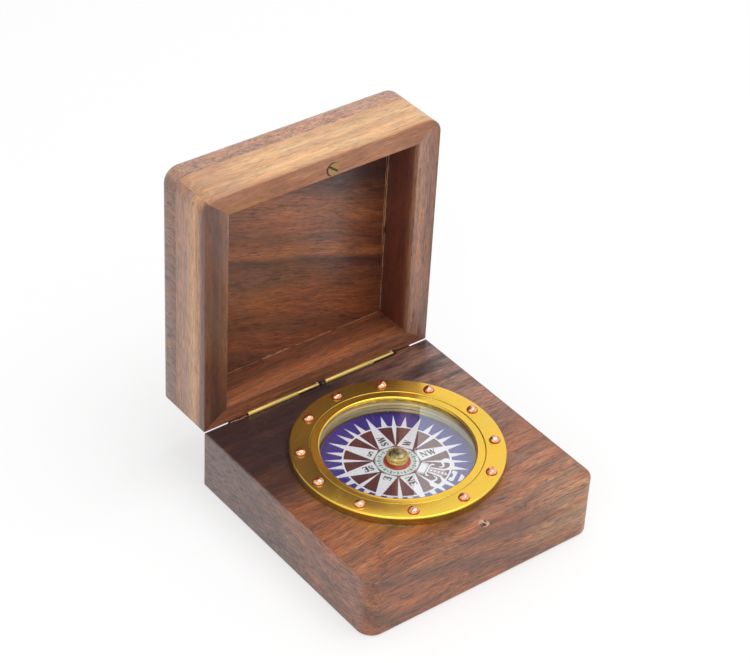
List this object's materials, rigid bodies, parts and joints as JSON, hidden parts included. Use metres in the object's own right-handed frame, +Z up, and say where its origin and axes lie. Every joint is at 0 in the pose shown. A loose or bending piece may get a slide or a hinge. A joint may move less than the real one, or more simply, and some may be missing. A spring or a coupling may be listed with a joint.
{
  "type": "magnetic compass",
  "caption": "Brass compass with a floating card, sunk in a wooden box with a hinged lid that stands open and closes over it.",
  "frame": {"origin": "middle of the underside of the base block", "axes": "+Z up, +X along the hinge to the right as seen from the front, +Y from the front of the box to the hinged back"},
  "size_m": [0.101, 0.1257, 0.1227],
  "materials": {
    "base_wood": "waxed rosewood, straight dark grain",
    "panel_wood": "waxed rosewood",
    "front_rail_wood": "waxed, paler sapwood",
    "back_rail_wood": "waxed rosewood",
    "side_rail_wood": "waxed rosewood",
    "flange_brass": "polished",
    "bezel_brass": "bright polished",
    "bowl_brass": "turned, satin",
    "cap_brass": "polished",
    "hinge_brass": "rolled sheet",
    "screw_brass": "satin",
    "catch_screw": "brass-plated steel",
    "copper": "copper, polished domes",
    "steel": "drawn wire",
    "magnet": "dark plated",
    "cover_glass": "clear, flat",
    "gasket": "matt",
    "card": "printed card, blue, maroon and white",
    "washer": "red fibre",
    "jewel": "polished"
  },
  "bodies": {
    "base": {"base_block": "base_wood", "compass_bowl": "bowl_brass", "flange_ring": "flange_brass", "copper_nails": "copper", "glass_gasket": "gasket", "cover_glass": "cover_glass", "bezel_ring": "bezel_brass", "pivot_post": "bowl_brass", "pivot_pin": "steel", "catch_magnet": "magnet", "left_base_leaf": "hinge_brass", "right_base_leaf": "hinge_brass", "left_hinge_pin": "steel", "right_hinge_pin": "steel", "base_leaf_screws": "screw_brass"},
    "lid": {"lid_panel": "panel_wood", "lid_front_rail": "front_rail_wood", "lid_back_rail": "back_rail_wood", "lid_left_rail": "side_rail_wood", "lid_right_rail": "side_rail_wood", "left_lid_leaf": "hinge_brass", "right_lid_leaf": "hinge_brass", "lid_leaf_screws": "screw_brass", "catch_screw": "catch_screw"},
    "card": {"compass_card": "card", "card_washer": "washer", "hub_cap": "cap_brass", "jewel_cup": "jewel", "needle_magnets": "magnet"}
  },
  "joints": [
    {"name": "lid_hinge", "type": "hinge", "parent": "base", "child": "lid", "pos_m": [0, 0.04915, 0.0246], "axis": [1, 0, 0], "range_deg": [0, 90]},
    {"name": "card_spin", "type": "hinge", "parent": "base", "child": "card", "pos_m": [0, 0.0015, 0.02], "axis": [0, 0, 1], "continuous": true}
  ]
}
